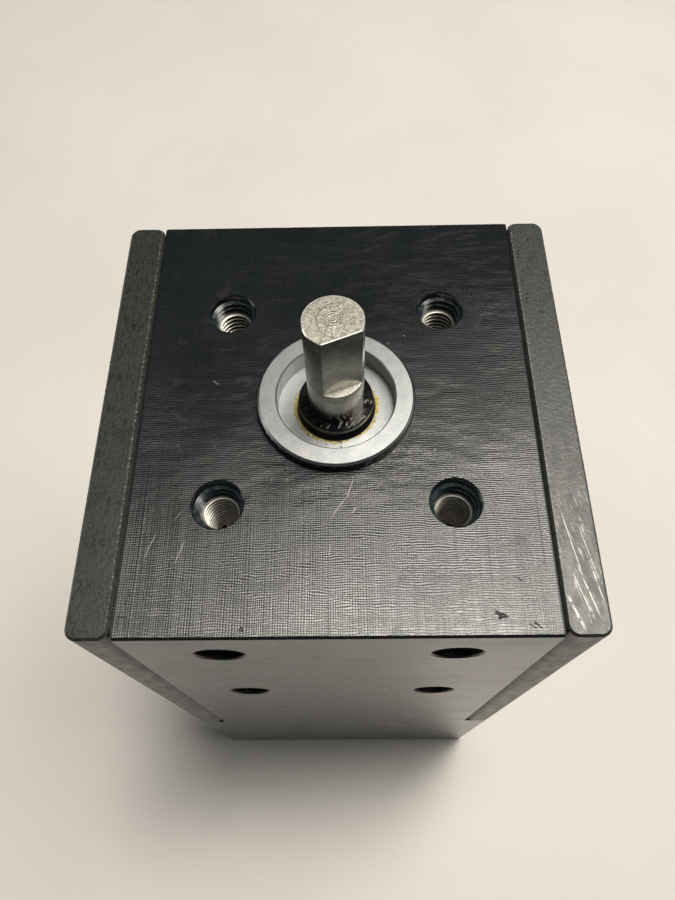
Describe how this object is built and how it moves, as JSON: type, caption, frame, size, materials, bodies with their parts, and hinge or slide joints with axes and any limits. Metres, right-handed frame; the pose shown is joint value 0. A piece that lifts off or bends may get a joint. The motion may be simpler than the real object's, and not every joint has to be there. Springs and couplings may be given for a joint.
{
  "type": "oldham coupling",
  "caption": "Enclosed Oldham coupling unit: a square black housing that joins a motor's shaft to a short flatted output shaft through a floating disc, with threaded mounting faces.",
  "frame": {"origin": "centre of the base, on the shaft's axis", "axes": "+Z along the output shaft and out of the top face; -Y is the front face with four threaded holes; +X to the right of it"},
  "size_m": [0.06, 0.06, 0.1365],
  "materials": {
    "block_black": "black anodised, fine milled lines",
    "plate_black": "black anodised over a blasted surface",
    "housing_black": "black anodised",
    "bare_aluminium": "turned, bright",
    "ground_steel": "ground",
    "insert_steel": "bright drawn wire",
    "screw_steel": "black oxide",
    "dowel_steel": "ground and hardened",
    "spring_steel": "oiled spring steel",
    "bearing_steel": "ground and polished",
    "shield_steel": "pressed sheet",
    "cage_nylon": "natural nylon",
    "seal_rubber": "smooth, greased",
    "hub_aluminium": "turned",
    "disc_acetal": "natural acetal",
    "plug_plastic": "moulded"
  },
  "bodies": {
    "housing": {"bearing_block": "block_black", "left_side_plate": "plate_black", "right_side_plate": "plate_black", "coupling_housing": "housing_black", "access_plugs": "plug_plastic", "top_thread_inserts": "insert_steel", "front_thread_inserts": "insert_steel", "side_plate_screws": "screw_steel", "housing_screws": "screw_steel", "housing_dowels": "dowel_steel", "pilot_ring": "bare_aluminium", "upper_bearing_outer_race": "bearing_steel", "upper_bearing_shields": "shield_steel", "lower_bearing_outer_race": "bearing_steel", "lower_bearing_shields": "shield_steel", "preload_washer": "spring_steel", "bearing_circlip": "spring_steel"},
    "output": {"output_shaft": "ground_steel", "upper_bearing_inner_race": "bearing_steel", "lower_bearing_inner_race": "bearing_steel", "wiper_seal": "seal_rubber", "upper_hub": "hub_aluminium", "upper_hub_screw": "screw_steel"},
    "upper_ball_train": {"upper_bearing_balls": "bearing_steel", "upper_bearing_cage": "cage_nylon"},
    "lower_ball_train": {"lower_bearing_balls": "bearing_steel", "lower_bearing_cage": "cage_nylon"},
    "disc": {"oldham_disc": "disc_acetal"},
    "input_hub": {"lower_hub": "hub_aluminium", "lower_hub_screw": "screw_steel"}
  },
  "joints": [
    {"name": "output_spin", "type": "hinge", "parent": "housing", "child": "output", "pos_m": [0, 0, 0], "axis": [0, 0, 1], "continuous": true},
    {"name": "upper_balls_spin", "type": "hinge", "parent": "housing", "child": "upper_ball_train", "pos_m": [0, 0, 0], "axis": [0, 0, 1], "continuous": true},
    {"name": "lower_balls_spin", "type": "hinge", "parent": "housing", "child": "lower_ball_train", "pos_m": [0, 0, 0], "axis": [0, 0, 1], "continuous": true},
    {"name": "disc_slide", "type": "slide", "parent": "output", "child": "disc", "axis": [1, 0, 0], "range_m": [-0.0005, 0.0005]},
    {"name": "input_slide", "type": "slide", "parent": "disc", "child": "input_hub", "axis": [0, 1, 0], "range_m": [-0.0005, 0.0005]}
  ],
  "couplings": [
    {"joint": "upper_balls_spin", "follows": "output_spin", "ratio": 0.3889},
    {"joint": "lower_balls_spin", "follows": "output_spin", "ratio": 0.3889}
  ]
}
